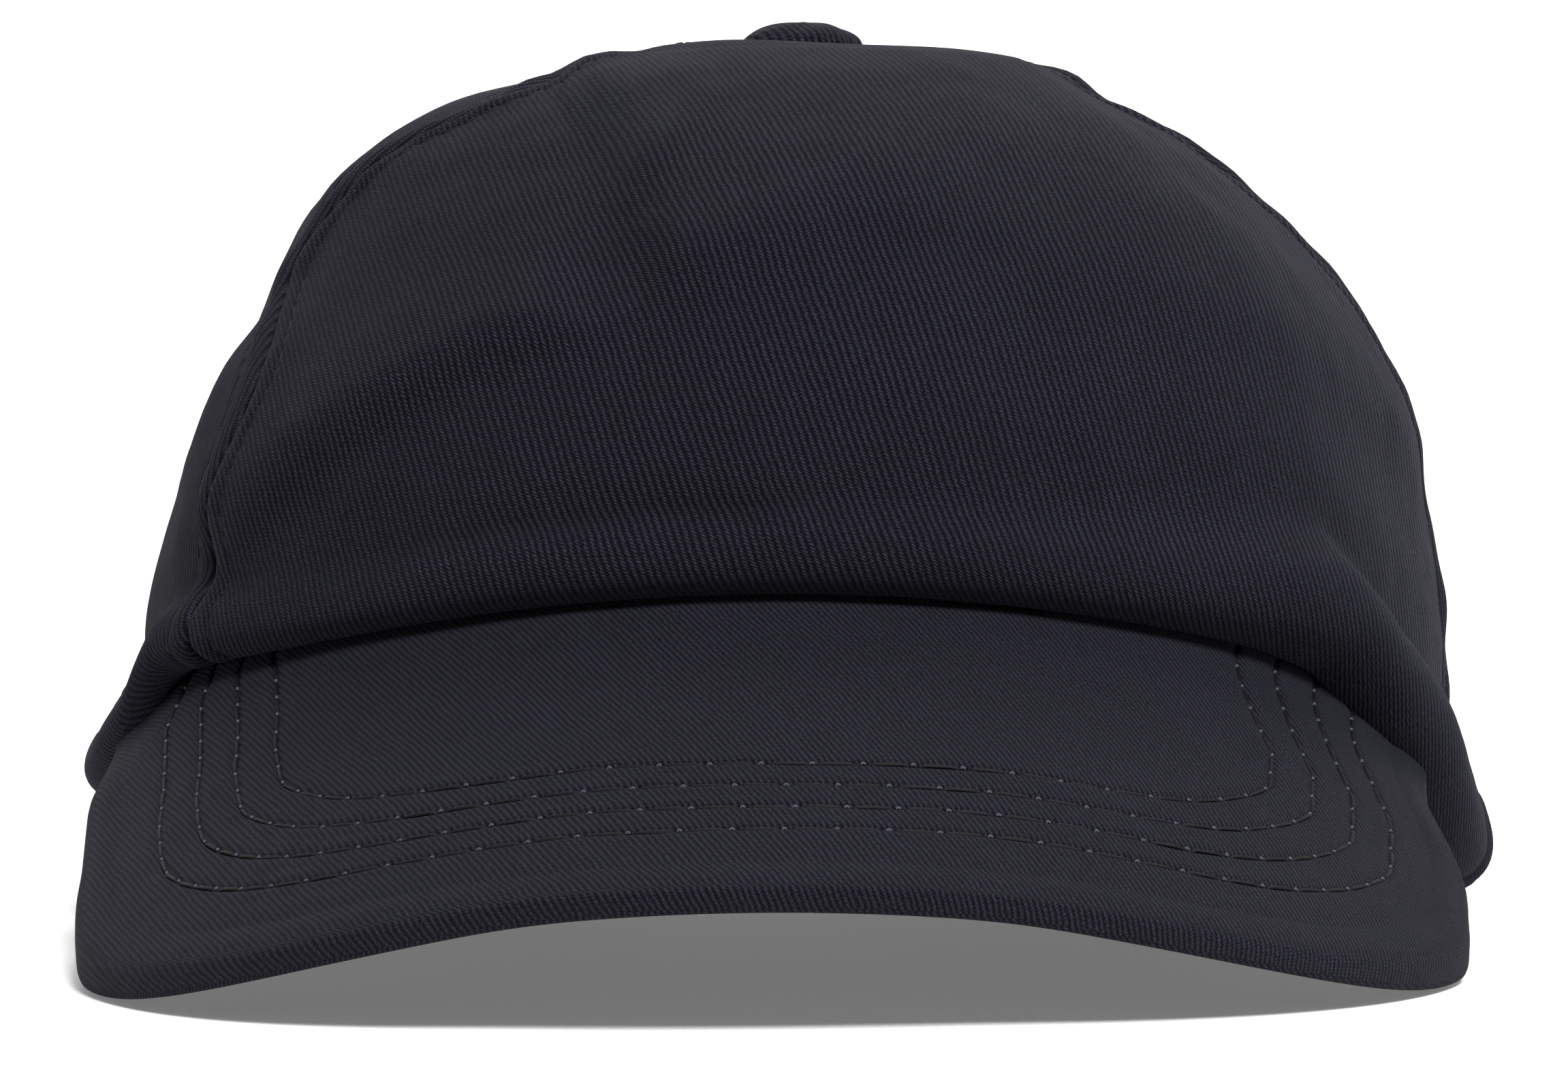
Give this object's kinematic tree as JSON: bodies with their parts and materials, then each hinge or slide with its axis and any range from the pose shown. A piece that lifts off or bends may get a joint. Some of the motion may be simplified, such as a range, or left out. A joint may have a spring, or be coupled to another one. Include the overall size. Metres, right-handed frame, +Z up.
{
  "type": "baseball cap",
  "caption": "Soft unstructured cloth cap with a curved stitched visor, a covered top button, a sweatband and an adjustable rear strap held by a hinged clamp buckle.",
  "frame": {"origin": "on the surface the cap rests on, under the top button, on the crown's vertical axis", "axes": "+Z up, the visor points to -Y, the rear strap is at +Y, the wearer's right is -X and the wearer's left is +X"},
  "size_m": [0.185, 0.2538, 0.1174],
  "materials": {
    "crown_twill": "dark navy cotton twill, soft and matt, with a faint diagonal rib",
    "visor_twill": "dark navy cotton twill stretched over the board, matt",
    "binding_twill": "folded dark navy cotton tape, matt",
    "strap_twill": "folded dark navy cotton twill, two edge rows of stitching",
    "button_twill": "dark navy cotton twill gathered over a pressed shell",
    "seam_tape_cotton": "dark navy woven cotton tape",
    "sweatband_cotton": "dark navy cotton twill, slightly brushed",
    "sewing_thread": "dark navy polyester thread",
    "eyelet_thread": "dark navy embroidery thread, slight sheen",
    "label_satin": "blank white satin ribbon",
    "visor_board_plastic": "flexible polyethylene sheet, matt",
    "plated_steel": "plain plated steel, never seen in use",
    "buckle_metal": "antique brass plating, brushed, dark in the corners"
  },
  "bodies": {
    "cap": {"front_panel": "crown_twill", "side_panel_right": "crown_twill", "side_panel_left": "crown_twill", "back_panel_right": "crown_twill", "back_panel_left": "crown_twill", "seam_tape_front_right": "seam_tape_cotton", "seam_tape_front_left": "seam_tape_cotton", "seam_tape_rear_right": "seam_tape_cotton", "seam_tape_rear_left": "seam_tape_cotton", "seam_tape_centre_back": "seam_tape_cotton", "sweatband": "sweatband_cotton", "rear_arch_binding": "binding_twill", "visor_board": "visor_board_plastic", "visor_top_cover": "visor_twill", "visor_under_cover": "visor_twill", "visor_topstitching": "sewing_thread", "button_shell": "plated_steel", "button_cover": "button_twill", "button_stud": "plated_steel", "button_washer": "plated_steel", "eyelet_side_right": "eyelet_thread", "eyelet_side_left": "eyelet_thread", "eyelet_back_right": "eyelet_thread", "eyelet_back_left": "eyelet_thread", "buckle_frame": "buckle_metal", "buckle_pin": "buckle_metal", "buckle_tab": "strap_twill", "care_label": "label_satin"},
    "strap": {"adjusting_strap": "strap_twill"},
    "lever": {"clamp_lever": "buckle_metal"}
  },
  "joints": [
    {"name": "strap_slide", "type": "hinge", "parent": "cap", "child": "strap", "pos_m": [0, 0, 0], "axis": [0, 0, 1], "range_deg": [-8, 8]},
    {"name": "buckle_lever_hinge", "type": "hinge", "parent": "cap", "child": "lever", "pos_m": [-0.01963, 0.09003, 0.012], "axis": [0, 0, 1], "range_deg": [0, 110]}
  ]
}
